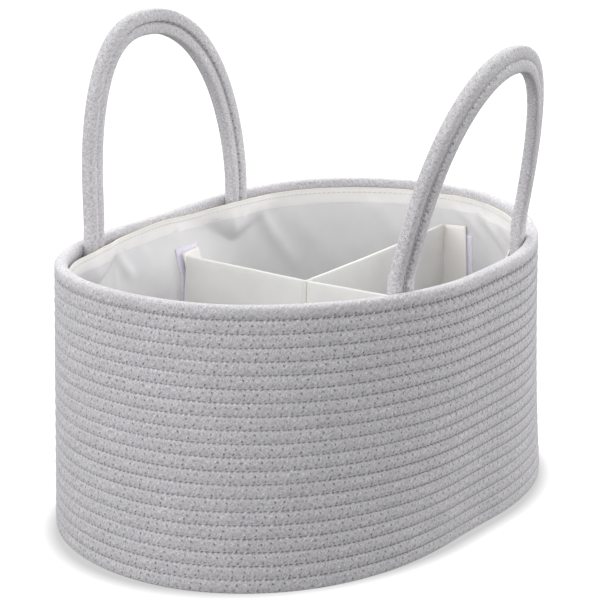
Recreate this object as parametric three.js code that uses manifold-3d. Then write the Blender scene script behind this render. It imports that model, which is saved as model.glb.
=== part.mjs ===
// Diaper caddy: a soft oval basket of coiled cotton rope with a sewn-in lining,
// two arched rope handles and a three-armed divider held by hook-and-loop tabs.
// Millimetres, +Z up, X along the long axis, origin under the middle of the base.
import * as THREE from "three";
import { mergeVertices } from "three/addons/utils/BufferGeometryUtils.js";
import Module from "manifold-3d";

const wasm = await Module();
wasm.setup();

// Basket
const LENGTH = 380; // outside, end to end
const WIDTH = 250; // outside, side to side
const FLATNESS = 0.43; // share of straight-sided oval mixed into the ellipse
const ROPE = 7.4; // rope diameter
const ROW_GAP = 0.6; // room between two rows or two neighbouring handle ropes
const ROWS = 20;
const ROPE_SIDES = 6;
const STEPS = 24; // straight steps in one turn of rope
const PLAN_SAMPLES = 1440; // fine points on the oval before it is stepped
const FIRST_STEP = 3; // where on the oval the wall rope starts, out of sight at the back
const RIM_ROPE = 8; // diameter of the slightly fuller rope along the rim
const RIM_SIDES = 8;
const FOOT_CLEARANCE = 0.3; // lowest wall row above the table
const FIT = 0.3; // clearance between pieces that touch

// Lining
const LINING = 1.0; // doubled fabric
const HEM = 0.8; // folded edge
const HEM_HEIGHT = 9;
const BULGE_RAMP = 10; // length over which the lining rises over a handle end

// Handles
const HANDLE_SPAN = 146; // between the middles of the two legs
const LEG_RISE = 10; // straight leg above the swing axis
const ARCH_RISE = 118; // half-ellipse of the outer rope above its legs
const AXIS_RISE = 4.5; // swing axis above the top of the rim
const END_DEPTH = 45; // rope end sewn in below the rim
const BACK_LEAN = 2; // outward lean at rest, degrees
const FRONT_LEAN = 12;
const HANDLE_SIDES = 8;
const ARCH_STEPS = 16;
const DOME_RINGS = 2;

// Divider
const DIVIDER_X = -8; // middle seam
const DIVIDER_Y = 3;
const DIVIDER_HEIGHT = 134;
const BOARD = 2;
const SLEEVE = 0.6;
const SEAM = 1.2; // thickness of the sewn fins of the middle seam
const WING_FOLD = 60; // degrees that a side arm can fold towards the end arm

// Hook-and-loop tabs
const TAB = 1.2;
const TAB_LENGTH = 20;
const TAPE = 0.8;
const TAPE_MARGIN = 8; // bare edge above and below a tape
const FOLD_STEPS = 6; // straight steps in the round fold of a tab
const HOOK_START = 4; // hook tape begins this far from the fold
const LOOP_BEFORE = 8; // loop tape reaches past the arm on its bare side
const LOOP_BEYOND = 3; // and past the free end of the tab

const COTTON_ROPE = { color: 0xbdbcc0, roughness: 0.95, metalness: 0 };
const LINING_CLOTH = { color: 0xf1f1ee, roughness: 0.6, metalness: 0 };
const DIVIDER_CLOTH = { color: 0xe6e5e0, roughness: 0.7, metalness: 0 };
const GREY_BOARD = { color: 0xb9b4a8, roughness: 0.9, metalness: 0 };
const HOOK_TAPE = { color: 0xd6d2e0, roughness: 0.8, metalness: 0 };

// Sizes that follow from the ones above
const ropeRadius = ROPE / 2;
const ropePitch = ROPE + ROW_GAP;
const rimRadius = RIM_ROPE / 2;
const wallTop = FOOT_CLEARANCE + ROWS * ropePitch - ROW_GAP;
const rimZ = wallTop + FIT + rimRadius;
const rimTop = rimZ + rimRadius;
const liningOut = ropeRadius + FIT; // insets from the middle line of the wall rope
const liningIn = liningOut + LINING;
const liningBottom = ROPE + FIT;
const floorTop = liningBottom + LINING;
const axisZ = rimTop + AXIS_RISE;
const degree = Math.PI / 180;

const caddy = new THREE.Group();

function addMesh(parent, name, geometry, finish) {
  const mesh = new THREE.Mesh(geometry, new THREE.MeshStandardMaterial(finish));
  mesh.name = name;
  parent.add(mesh);
  return mesh;
}

// Joined surface over a row of outlines, each with the same number of points.
// A closed row comes back to its start; an open one is capped at two tips.
function sweep(outlines, closed, tips = []) {
  const sides = outlines[0].length;
  const count = outlines.length;
  const points = outlines.flat();
  const faces = [];
  const corner = (i, k) => (i % count) * sides + (k % sides);
  for (let i = 0; i < (closed ? count : count - 1); i++) {
    for (let k = 0; k < sides; k++) {
      faces.push(corner(i, k), corner(i + 1, k), corner(i + 1, k + 1));
      faces.push(corner(i, k), corner(i + 1, k + 1), corner(i, k + 1));
    }
  }
  if (!closed) {
    const ends = [0, count - 1];
    ends.forEach((i, e) => {
      const tip = tips[e] ?? middle(outlines[i]);
      points.push(tip);
      for (let k = 0; k < sides; k++) {
        const pair = [corner(i, k), corner(i, k + 1)];
        if (e === 1) pair.reverse();
        faces.push(points.length - 1, pair[0], pair[1]);
      }
    });
  }
  const geometry = new THREE.BufferGeometry();
  geometry.setAttribute("position", new THREE.Float32BufferAttribute(points.flatMap((p) => p.toArray()), 3));
  geometry.setIndex(facingOut(points, faces));
  geometry.computeVertexNormals();
  return geometry;
}

function middle(points) {
  const sum = new THREE.Vector3();
  points.forEach((p) => sum.add(p));
  return sum.divideScalar(points.length);
}

// Turns every face over if the surface came out inside out
function facingOut(points, faces) {
  let volume = 0;
  const cross = new THREE.Vector3();
  for (let f = 0; f < faces.length; f += 3) {
    const [a, b, c] = [points[faces[f]], points[faces[f + 1]], points[faces[f + 2]]];
    volume += a.dot(cross.crossVectors(b, c));
  }
  return volume > 0 ? faces : faces.reverse();
}

function prism(corners, bottom, top) {
  const shape = new THREE.Shape(corners.map(([x, y]) => new THREE.Vector2(x, y)));
  const geometry = new THREE.ExtrudeGeometry(shape, { depth: top - bottom, bevelEnabled: false });
  return geometry.translate(0, 0, bottom);
}

function block(from, to) {
  const size = to.map((value, axis) => value - from[axis]);
  const geometry = new THREE.BoxGeometry(...size);
  return geometry.translate(...from.map((value, axis) => value + size[axis] / 2));
}

// Closed geometry to a solid for cutting, and back
function toSolid(geometry) {
  const bare = geometry.clone();
  bare.deleteAttribute("normal");
  bare.deleteAttribute("uv");
  const merged = mergeVertices(bare);
  return new wasm.Manifold(
    new wasm.Mesh({
      numProp: 3,
      vertProperties: new Float32Array(merged.attributes.position.array),
      triVerts: new Uint32Array(merged.index.array),
    }),
  );
}

function cutOut(body, tool) {
  const mesh = toSolid(body).subtract(toSolid(tool)).getMesh();
  const geometry = new THREE.BufferGeometry();
  geometry.setAttribute("position", new THREE.Float32BufferAttribute(mesh.vertProperties, 3));
  geometry.setIndex(Array.from(mesh.triVerts));
  geometry.computeVertexNormals();
  return geometry;
}

// Plan of the basket: even stations along the middle line of the wall rope
function ovalStations() {
  const a = (LENGTH - ROPE) / 2;
  const b = (WIDTH - ROPE) / 2;
  const fine = [];
  for (let k = 0; k < PLAN_SAMPLES; k++) {
    const t = ((k + 0.5) / PLAN_SAMPLES) * 2 * Math.PI;
    const straight = Math.sign(Math.cos(t)) * FLATNESS * (a - b);
    const x = Math.cos(t) * ((1 - FLATNESS) * a + FLATNESS * b) + straight;
    fine.push(new THREE.Vector2(x, b * Math.sin(t)));
  }
  const lengths = [0];
  for (let k = 0; k < PLAN_SAMPLES; k++) {
    lengths.push(lengths[k] + fine[k].distanceTo(fine[(k + 1) % PLAN_SAMPLES]));
  }
  const stations = [];
  for (let i = 0, k = 0; i < STEPS; i++) {
    const along = ((i + 0.5) / STEPS) * lengths[PLAN_SAMPLES];
    while (lengths[k + 1] < along) k++;
    const part = (along - lengths[k]) / (lengths[k + 1] - lengths[k]);
    stations.push(fine[k].clone().lerp(fine[(k + 1) % PLAN_SAMPLES], part));
  }
  // The straight steps cut inside the oval, so they are spread until the widest ones touch it
  const most = (axis) => Math.max(...stations.map((p) => p[axis]));
  const spread = new THREE.Vector2(a / most("x"), b / most("y"));
  return stations.map((p) => p.multiply(spread));
}

const stations = ovalStations();
const facets = stations.map((from, i) => {
  const to = stations[(i + 1) % STEPS];
  const normal = new THREE.Vector2(to.y - from.y, from.x - to.x).normalize();
  return { normal, distance: normal.dot(from) };
});
// Outward corner directions that keep every offset facet parallel
const corners = stations.map((_, i) => {
  const before = facets[(i + STEPS - 1) % STEPS].normal;
  const after = facets[i].normal;
  return before.clone().add(after).divideScalar(1 + before.dot(after));
});
const planPoint = (i, out) => stations[i].clone().addScaledVector(corners[i], out);
const planOutline = (out) => stations.map((_, i) => planPoint(i, out).toArray());

// Farthest y at a given x, or x at a given y, that lies inset inside the plan
function reachY(x, inset) {
  const ahead = facets.filter((f) => f.normal.y > 0);
  return Math.min(...ahead.map((f) => (f.distance - inset - f.normal.x * x) / f.normal.y));
}
function reachX(y, inset) {
  const ahead = facets.filter((f) => f.normal.x > 0);
  return Math.min(...ahead.map((f) => (f.distance - inset - f.normal.y * y) / f.normal.x));
}

// Rope wall: one unbroken rope, level along each row and climbing to the next in the last step
function ropeWall() {
  const flat = Math.sin((2 * Math.PI) / ROPE_SIDES);
  const outlines = [];
  for (let j = 0; j < ROWS * STEPS; j++) {
    const station = (FIRST_STEP + j) % STEPS;
    const z = FOOT_CLEARANCE + ropeRadius + Math.floor(j / STEPS) * ropePitch;
    const outline = [];
    for (let k = 0; k < ROPE_SIDES; k++) {
      const angle = (k * 2 * Math.PI) / ROPE_SIDES;
      const p = planPoint(station, ropeRadius * Math.cos(angle));
      outline.push(new THREE.Vector3(p.x, p.y, z + (ropeRadius * Math.sin(angle)) / flat));
    }
    outlines.push(outline);
  }
  let least = Infinity;
  outlines.forEach((outline, j) => {
    for (let m = j + STEPS / 2; m < Math.min(j + 2 * STEPS, outlines.length); m++) {
      for (const p of outline) {
        for (const q of outlines[m]) least = Math.min(least, p.distanceTo(q));
      }
    }
  });
  console.log(`rope wall: least gap between its rows ${least.toFixed(2)} mm`);
  return sweep(outlines, false);
}

function rimRope() {
  const corner = rimRadius / Math.cos(Math.PI / RIM_SIDES);
  const outlines = stations.map((_, i) => {
    const outline = [];
    for (let k = 0; k < RIM_SIDES; k++) {
      const angle = ((k + 0.5) * 2 * Math.PI) / RIM_SIDES;
      const p = planPoint(i, corner * Math.cos(angle));
      outline.push(new THREE.Vector3(p.x, p.y, rimZ + corner * Math.sin(angle)));
    }
    return outline;
  });
  return sweep(outlines, true);
}

// Handle legs: two ropes side by side, standing just inside the rim
const outerX = HANDLE_SPAN / 2 + ropePitch / 2;
const innerX = HANDLE_SPAN / 2 - ropePitch / 2;
const legCorner = ropeRadius / Math.cos(Math.PI / HANDLE_SIDES);
const legY = reachY(outerX + legCorner, rimRadius + FIT) - legCorner;
const endBottom = wallTop - END_DEPTH;
const bulgeBottom = endBottom - FIT;

// A band of cloth standing inside the rope wall, bulging inwards over the sewn-in handle ends
function clothBand(outset, thickness, bottom, top) {
  const bulgeFrom = innerX - legCorner - FIT;
  const bulgeTo = outerX + legCorner + FIT;
  const bulgeY = legY - legCorner - FIT - (outset - liningOut);
  const rampFrom = bulgeFrom - BULGE_RAMP;
  const rampTo = bulgeTo + BULGE_RAMP;
  const wallY = (x, inset, bulged) => {
    const plain = (at) => reachY(at, inset);
    if (!bulged) return plain(x);
    const crest = bulgeY - (inset - outset);
    if (x < bulgeFrom) return THREE.MathUtils.mapLinear(x, rampFrom, bulgeFrom, plain(rampFrom), crest);
    if (x > bulgeTo) return THREE.MathUtils.mapLinear(x, bulgeTo, rampTo, crest, plain(rampTo));
    return crest;
  };
  const marks = [];
  stations.forEach((_, i) => {
    const p = planPoint(i, -outset);
    const beside = Math.abs(p.x) > rampFrom && Math.abs(p.x) < rampTo;
    marks.push({ x: p.x, y: p.y, station: i, beside });
  });
  for (const sx of [1, -1]) {
    for (const sy of [1, -1]) {
      for (const x of [rampFrom, bulgeFrom, bulgeTo, rampTo]) {
        marks.push({ x: sx * x, y: sy * reachY(x, outset), beside: true });
      }
    }
  }
  marks.sort((m, n) => Math.atan2(m.y, m.x) - Math.atan2(n.y, n.x));
  const levels = [{ z: bottom, bulged: bulgeBottom < bottom }];
  if (bulgeBottom - BULGE_RAMP > bottom) levels.push({ z: bulgeBottom - BULGE_RAMP, bulged: false });
  if (bulgeBottom > bottom) levels.push({ z: bulgeBottom, bulged: true });
  levels.push({ z: top, bulged: true });
  const outlines = marks.map((mark) => {
    const at = (level, inset) => {
      if (!mark.beside) return new THREE.Vector3(...planPoint(mark.station, -inset), level.z);
      const y = Math.sign(mark.y) * wallY(Math.abs(mark.x), inset, level.bulged);
      return new THREE.Vector3(mark.x, y, level.z);
    };
    const outside = levels.map((level) => at(level, outset));
    const inside = levels.map((level) => at(level, outset + thickness));
    return [...outside, ...inside.reverse()];
  });
  return sweep(outlines, true);
}

// Basket
addMesh(caddy, "rope_base", prism(planOutline(-ropeRadius - FIT), 0, ROPE), COTTON_ROPE);
addMesh(caddy, "rope_wall", ropeWall(), COTTON_ROPE);
addMesh(caddy, "rim_rope", rimRope(), COTTON_ROPE);
addMesh(caddy, "lining_floor", prism(planOutline(-liningIn - FIT), liningBottom, floorTop), LINING_CLOTH);
addMesh(caddy, "lining_wall", clothBand(liningOut, LINING, liningBottom, wallTop), LINING_CLOTH);
const hemBottom = wallTop - HEM_HEIGHT;
addMesh(caddy, "lining_hem", clothBand(liningIn + FIT, HEM, hemBottom, wallTop), LINING_CLOTH);

// Handles: an outer and an inner rope sewn together, with domed feet on the swing axis
function archRope(halfSpan) {
  const rise = ARCH_RISE - (outerX - halfSpan);
  const outlines = [];
  const ring = (x, z, ax, az, radius) => {
    const outline = [];
    for (let k = 0; k < HANDLE_SIDES; k++) {
      const angle = ((k + 0.5) * 2 * Math.PI) / HANDLE_SIDES;
      const out = radius * Math.cos(angle);
      outline.push(new THREE.Vector3(x + ax * out, radius * Math.sin(angle), z + az * out));
    }
    return outline;
  };
  const dome = [];
  for (let k = DOME_RINGS; k > 0; k--) {
    const angle = (k * Math.PI) / 2 / (DOME_RINGS + 1);
    dome.push({ drop: ropeRadius * Math.sin(angle), radius: legCorner * Math.cos(angle) });
  }
  dome.forEach((d) => outlines.push(ring(halfSpan, -d.drop, 1, 0, d.radius)));
  outlines.push(ring(halfSpan, 0, 1, 0, legCorner));
  for (let k = 0; k <= ARCH_STEPS; k++) {
    const angle = (k * Math.PI) / ARCH_STEPS;
    const [c, s] = [Math.cos(angle), Math.sin(angle)];
    const normal = new THREE.Vector2(c / halfSpan, s / rise).normalize();
    outlines.push(ring(halfSpan * c, LEG_RISE + rise * s, normal.x, normal.y, legCorner));
  }
  outlines.push(ring(-halfSpan, 0, -1, 0, legCorner));
  dome.reverse();
  dome.forEach((d) => outlines.push(ring(-halfSpan, -d.drop, -1, 0, d.radius)));
  const tips = [halfSpan, -halfSpan].map((x) => new THREE.Vector3(x, 0, -ropeRadius));
  return sweep(outlines, false, tips);
}

function ropeEnd() {
  const length = axisZ - ropeRadius - FIT - endBottom;
  const geometry = new THREE.CylinderGeometry(legCorner, legCorner, length, HANDLE_SIDES);
  geometry.rotateX(Math.PI / 2);
  geometry.rotateZ(Math.PI / HANDLE_SIDES);
  return geometry.translate(0, 0, endBottom + length / 2);
}

const handles = [
  { name: "back", side: 1, lean: BACK_LEAN },
  { name: "front", side: -1, lean: FRONT_LEAN },
];
const ropes = [
  { name: "outer", x: outerX },
  { name: "inner", x: innerX },
];
for (const handle of handles) {
  const swing = new THREE.Group();
  swing.position.set(0, handle.side * legY, axisZ);
  swing.rotation.x = -handle.side * handle.lean * degree;
  caddy.add(swing);
  for (const rope of ropes) {
    addMesh(swing, `${handle.name}_handle_${rope.name}_rope`, archRope(rope.x), COTTON_ROPE);
    for (const [place, sx] of [["left", -1], ["right", 1]]) {
      const end = addMesh(caddy, `${handle.name}_${place}_${rope.name}_rope_end`, ropeEnd(), COTTON_ROPE);
      end.position.set(sx * rope.x, handle.side * legY, 0);
    }
  }
}

// Divider: three boards in sleeves, sewn together at the middle seam
const dividerBottom = floorTop + FIT;
const panel = BOARD + 2 * FIT + 2 * SLEEVE;
const foldLeft = (90 - WING_FOLD) * degree; // angle left between a folded side arm and the end arm
const armStart = ((panel / 2) * (1 + Math.cos(foldLeft)) + FIT) / Math.sin(foldLeft);
const seamReach = armStart - FIT;
const tabStack = TAB + FIT + TAPE + FIT + TAPE + FIT;
const foldOffset = panel / 2 + FIT + TAB / 2; // fold line of a tab beside its arm

const divider = new THREE.Group();
divider.position.set(DIVIDER_X, DIVIDER_Y, dividerBottom);
caddy.add(divider);
const half = SEAM / 2;
const seamOutline = [
  [-half, -seamReach],
  [half, -seamReach],
  [half, -half],
  [seamReach, -half],
  [seamReach, half],
  [half, half],
  [half, seamReach],
  [-half, seamReach],
];
addMesh(divider, "divider_seam", prism(seamOutline, 0, DIVIDER_HEIGHT), DIVIDER_CLOTH);

// Flat place on the wall in front of an arm: the least room over the width of its loop tape
const loopFrom = -panel / 2 - LOOP_BEFORE;
const loopTo = foldOffset + TAB_LENGTH + LOOP_BEYOND;
const arms = [
  {
    name: "back",
    turn: 90,
    tabSide: -1,
    room: (v) => reachY(DIVIDER_X - v, liningIn) - DIVIDER_Y,
  },
  {
    name: "front",
    turn: -90,
    tabSide: 1,
    room: (v) => reachY(DIVIDER_X + v, liningIn) + DIVIDER_Y,
  },
  {
    name: "end",
    turn: 0,
    tabSide: -1,
    room: (v) => reachX(DIVIDER_Y + v, liningIn) - DIVIDER_X,
  },
];
for (const arm of arms) {
  const group = new THREE.Group();
  group.rotation.z = arm.turn * degree;
  divider.add(group);
  const across = (v) => arm.tabSide * v;
  const span = (v, w) => [Math.min(across(v), across(w)), Math.max(across(v), across(w))];
  const wall = Math.min(arm.room(across(loopFrom)), arm.room(across(loopTo)));
  const loopX = wall - FIT - TAPE;
  const hookX = loopX - FIT - TAPE;
  const tabX = hookX - FIT - TAB;
  const armEnd = wall - FIT - tabStack;

  const outside = block([armStart, -panel / 2, 0], [armEnd, panel / 2, DIVIDER_HEIGHT]);
  const pocketHalf = BOARD / 2 + FIT;
  const pocketEnds = [armStart + SLEEVE, armEnd - SLEEVE];
  const pocketTop = DIVIDER_HEIGHT - SLEEVE;
  const belowMouth = -panel; // the cut runs out through the open lower edge
  const pocket = block([pocketEnds[0], -pocketHalf, belowMouth], [pocketEnds[1], pocketHalf, pocketTop]);
  addMesh(group, `${arm.name}_panel_sleeve`, cutOut(outside, pocket), DIVIDER_CLOTH);
  const boardFrom = [pocketEnds[0] + FIT, -BOARD / 2, 0];
  const boardTo = [pocketEnds[1] - FIT, BOARD / 2, pocketTop - FIT];
  addMesh(group, `${arm.name}_panel_board`, block(boardFrom, boardTo), GREY_BOARD);

  // Tab with a round fold, seen from above, its hook tape, and the loop tape on the lining
  const fold = new THREE.Shape();
  const tabMiddle = tabX + TAB / 2;
  fold.moveTo(tabX, foldOffset);
  fold.absarc(tabMiddle, foldOffset, TAB / 2, Math.PI, 2 * Math.PI, false);
  fold.lineTo(tabX + TAB, foldOffset + TAB_LENGTH);
  fold.lineTo(tabX, foldOffset + TAB_LENGTH);
  const tabGeometry = new THREE.ExtrudeGeometry(fold, {
    depth: DIVIDER_HEIGHT,
    bevelEnabled: false,
    curveSegments: FOLD_STEPS,
  });
  if (arm.tabSide < 0) {
    tabGeometry.translate(-tabMiddle, 0, 0);
    tabGeometry.rotateZ(Math.PI);
    tabGeometry.translate(tabMiddle, 0, 0);
  }
  addMesh(group, `${arm.name}_tab`, tabGeometry, DIVIDER_CLOTH);
  const tapeBottom = TAPE_MARGIN;
  const tapeTop = DIVIDER_HEIGHT - TAPE_MARGIN;
  const hookSpan = span(foldOffset + HOOK_START, foldOffset + TAB_LENGTH - FIT);
  const hook = block([hookX, hookSpan[0], tapeBottom], [hookX + TAPE, hookSpan[1], tapeTop]);
  addMesh(group, `${arm.name}_hook_tape`, hook, HOOK_TAPE);
  const loopSpan = span(loopFrom, loopTo);
  const loop = block([loopX, loopSpan[0], tapeBottom], [loopX + TAPE, loopSpan[1], tapeTop]);
  addMesh(group, `${arm.name}_loop_tape`, loop, HOOK_TAPE);
}

export default caddy;
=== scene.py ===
import math
import bpy
import numpy as np
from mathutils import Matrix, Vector, noise


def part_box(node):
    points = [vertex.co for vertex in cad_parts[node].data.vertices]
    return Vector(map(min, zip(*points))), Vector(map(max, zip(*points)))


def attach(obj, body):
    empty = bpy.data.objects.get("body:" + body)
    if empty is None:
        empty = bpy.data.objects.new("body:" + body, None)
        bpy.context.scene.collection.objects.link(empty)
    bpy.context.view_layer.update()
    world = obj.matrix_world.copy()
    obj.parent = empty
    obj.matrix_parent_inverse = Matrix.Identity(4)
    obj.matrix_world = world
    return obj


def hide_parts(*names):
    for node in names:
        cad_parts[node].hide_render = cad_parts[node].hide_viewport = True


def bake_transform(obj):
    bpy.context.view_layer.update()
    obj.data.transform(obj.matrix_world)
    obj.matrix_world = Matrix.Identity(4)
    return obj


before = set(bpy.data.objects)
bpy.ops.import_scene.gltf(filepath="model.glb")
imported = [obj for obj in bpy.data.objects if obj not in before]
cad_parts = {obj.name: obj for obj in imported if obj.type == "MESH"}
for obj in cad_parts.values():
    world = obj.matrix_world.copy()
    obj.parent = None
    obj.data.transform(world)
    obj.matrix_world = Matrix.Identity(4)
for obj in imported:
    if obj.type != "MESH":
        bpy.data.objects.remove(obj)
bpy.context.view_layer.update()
print("frame loaded,", len(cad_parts), "nodes")

mm = 0.001
wallLow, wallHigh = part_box("rope_wall")
rimLow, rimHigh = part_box("rim_rope")
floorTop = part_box("lining_floor")[1].z

# the coil: its rows, and the oval that their middle line follows
coil = {
    "rows": 20,
    "thick": 7.4 * mm,
    "flatness": 0.41,  # 0 is an ellipse, 1 an oval with straight sides
    "stitches": 159.31,  # zigzag stitches in one row
    "start": 52,  # degrees round from the right end, where each row climbs to the next
    "climb": 0.05,  # share of a row taken by that climb
}
rowPitch = (wallHigh.z - wallLow.z - coil["thick"]) / (coil["rows"] - 1)
firstRow = wallLow.z + coil["thick"] / 2
halfLong = wallHigh.x - coil["thick"] / 2
halfWide = wallHigh.y - coil["thick"] / 2
rimTop = rimHigh.z

# how the soft basket stands: how far the rim and the foot swell and the rim is lifted, in mm,
# as shares of the cosine and the sine of once, twice, three and four times the angle round it
stance = {
    "rim": [(0.0, 0.0), (-2.9, 4.1), (2.3, 7.5), (-1.1, 2.3)],
    "foot": [(1.18, 1.44), (0.23, 0.43), (1.28, -2.77), (-1.03, 0.62)],
    "lift": [(1.31, -1.36), (0.33, -0.85), (-0.72, -0.69), (-0.44, -0.72)],
    "drawIn": 0.0245,  # the wall leans in by this share of its height, about this level
    "level": 90 * mm,
}


# small tools
def hexColour(code):
    channels = [int(code[i:i + 2], 16) / 255 for i in (1, 3, 5)]
    linear = [c / 12.92 if c <= 0.04045 else ((c + 0.055) / 1.055) ** 2.4 for c in channels]
    return (*linear, 1.0)


def addNode(tree, kind, settings=None, links=None):
    node = tree.nodes.new(kind)
    for key, value in (settings or {}).items():
        if isinstance(key, int) or key in node.inputs:
            node.inputs[key].default_value = value
        else:
            setattr(node, key, value)
    for key, source in (links or {}).items():
        tree.links.new(source, node.inputs[key])
    return node


def compute(tree, operation, *values):
    # one step of arithmetic on numbers and other nodes' sockets
    node = addNode(tree, "ShaderNodeMath", {"operation": operation})
    for k, value in enumerate(values):
        if isinstance(value, bpy.types.NodeSocket):
            tree.links.new(value, node.inputs[k])
        else:
            node.inputs[k].default_value = value
    return node.outputs[0]


def ranged(tree, value, low, high, toLow=0.0, toHigh=1.0, kind="LINEAR"):
    settings = {"interpolation_type": kind, "From Min": low, "From Max": high, "To Min": toLow,
                "To Max": toHigh}
    return addNode(tree, "ShaderNodeMapRange", settings, {"Value": value}).outputs[0]


def noiseAt(tree, place, size, detail):
    settings = {"Scale": 1 / size, "Detail": detail}
    return addNode(tree, "ShaderNodeTexNoise", settings, {"Vector": place}).outputs["Fac"]


def colourRamp(tree, source, stops):
    # stops: where on the ramp and which colour, its two ends first
    ramp = addNode(tree, "ShaderNodeValToRGB", links={0: source})
    for k, (place, code) in enumerate(stops):
        stop = ramp.color_ramp.elements[k] if k < 2 else ramp.color_ramp.elements.new(place)
        stop.position = place
        stop.color = hexColour(code)
    return ramp.outputs["Color"]


def mixColour(tree, share, colour, code):
    settings = {"data_type": "RGBA", 7: hexColour(code)}
    return addNode(tree, "ShaderNodeMix", settings, {0: share, 6: colour}).outputs[2]


def relief(tree, shader, height, strength, depth):
    bump = addNode(tree, "ShaderNodeBump", {"Strength": strength, "Distance": depth}, {"Height": height})
    tree.links.new(bump.outputs[0], shader.inputs["Normal"])


def newMaterial(name, sockets):
    material = bpy.data.materials.new(name)
    material.use_nodes = True
    shader = material.node_tree.nodes["Principled BSDF"]
    for socket, value in sockets.items():
        shader.inputs[socket].default_value = value
    return material, material.node_tree, shader


def onlySelect(piece):
    bpy.ops.object.select_all(action="DESELECT")
    piece.select_set(True)
    bpy.context.view_layer.objects.active = piece


def applyModifiers(piece):
    onlySelect(piece)
    for modifier in list(piece.modifiers):
        bpy.ops.object.modifier_apply(modifier=modifier.name)


def readPoints(piece):
    flat = np.zeros(len(piece.data.vertices) * 3)
    piece.data.vertices.foreach_get("co", flat)
    return flat.reshape(-1, 3)


def writePoints(piece, points):
    piece.data.vertices.foreach_set("co", np.asarray(points, float).ravel())
    piece.data.update()


def newPiece(name, points, faces, material):
    mesh = bpy.data.meshes.new(name)
    mesh.from_pydata([tuple(p) for p in points], [], faces)
    piece = bpy.data.objects.new(name, mesh)
    bpy.context.scene.collection.objects.link(piece)
    mesh.materials.append(material)
    return piece


def unit(vectors):
    return vectors / np.linalg.norm(vectors, axis=-1, keepdims=True)


def ease(t):
    t = np.clip(t, 0, 1)
    return t * t * (3 - 2 * t)


def rising(z, start, over):
    return float(ease((z - start) / over))


def lengthAlong(path):
    return np.concatenate([[0], np.cumsum(np.linalg.norm(np.diff(path, axis=0), axis=1))])


# the oval in plan, as evenly spaced points of its middle line moved out by outset
def ovalPlan(count, outset, startAngle=0.0):
    a, b = halfLong + outset, halfWide + outset
    t = np.linspace(0, 2 * math.pi, 2881) + startAngle
    c, s = np.cos(t), np.sin(t)
    side = coil["flatness"] * (a - b)
    x = c * (a - side) + np.where(c >= 0, side, -side)
    plan = np.stack([x, b * s], -1)
    along = lengthAlong(plan)
    wanted = np.linspace(0, along[-1], count, endpoint=False)
    return np.stack([np.interp(wanted, along, plan[:, k]) for k in (0, 1)], -1)


def ovalNormal(points):
    # level direction out of the oval, for points in plan or in space
    return unit(points / np.square((halfLong, halfWide, math.inf))[:points.shape[1]] + 1e-9)


fineOval = ovalPlan(2880, 0.0)
rowLength = np.linalg.norm(fineOval - np.roll(fineOval, 1, axis=0), axis=1).sum()
stitchPitch = rowLength / mm / coil["stitches"]


def lobes(shares, angle):
    total = 0
    for k, (cosine, sine) in enumerate(shares, 1):
        total = total + cosine * np.cos(k * angle) + sine * np.sin(k * angle)
    return total * mm


# moves points of the true oval to where the soft basket stands
def stand(points):
    p = np.array(points, float)
    share = np.clip(p[:, 2] / rimTop, 0, 1)
    angle = np.arctan2(p[:, 1] / halfWide, p[:, 0] / halfLong)
    reach = np.clip(np.hypot(p[:, 0] / halfLong, p[:, 1] / halfWide), 0, 1.06) ** 2
    swell = share * lobes(stance["rim"], angle) + (1 - share) ** 2 * lobes(stance["foot"], angle)
    lean = stance["drawIn"] * (stance["level"] - np.clip(p[:, 2], 0, rimTop))
    p[:, :2] += ovalNormal(p[:, :2]) * ((swell + lean) * reach)[:, None]
    p[:, 2] += share ** 2 * np.minimum(reach, 1) * lobes(stance["lift"], angle)
    return p


# materials
ropeColourAndShade = {
    "light": "#E5E3E6",
    "middle": "#C6C4C7",
    "dark": "#A19FA5",
    "streak": (0.62, 2.6),  # mm, a drawn-out tuft of cotton: how wide and how long
    "fleck": 0.8,  # mm, a loose fibre end
    "fleckShare": 0.4,  # of the flecks among the tufts
    "wale": 1.5,  # mm, half a row of the knitted sleeve's slanting loops
    "drift": (9.0, 4.0),  # mm, how far along and how far round those rows wander
    "tone": 28.0,  # mm, slow change of tone
    "relief": (0.65, 0.6 * mm),
    # painted shade in the needle holes
    "hole": "#6C6A70",
    "holeSize": (0.55, 0.75),  # mm
    "holeStep": 0.81,  # of a stitch, from the holes of one side to those of the other
    "holeStray": (0.3, 0.9),  # of a stitch along, and mm round
    "holeLean": 0.5,
    # painted shade: the dark of the open seam between two crossings of the thread
    "gap": "#86848A",
    "seamShadeWide": 0.95,  # mm, how wide the painted shade lies in the open seam between two crossings of the thread
    "seamShadeShare": 0.6,  # of the way from one crossing to the next
    "seamShadeEdge": 0.04,  # of a stitch
}


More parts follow.
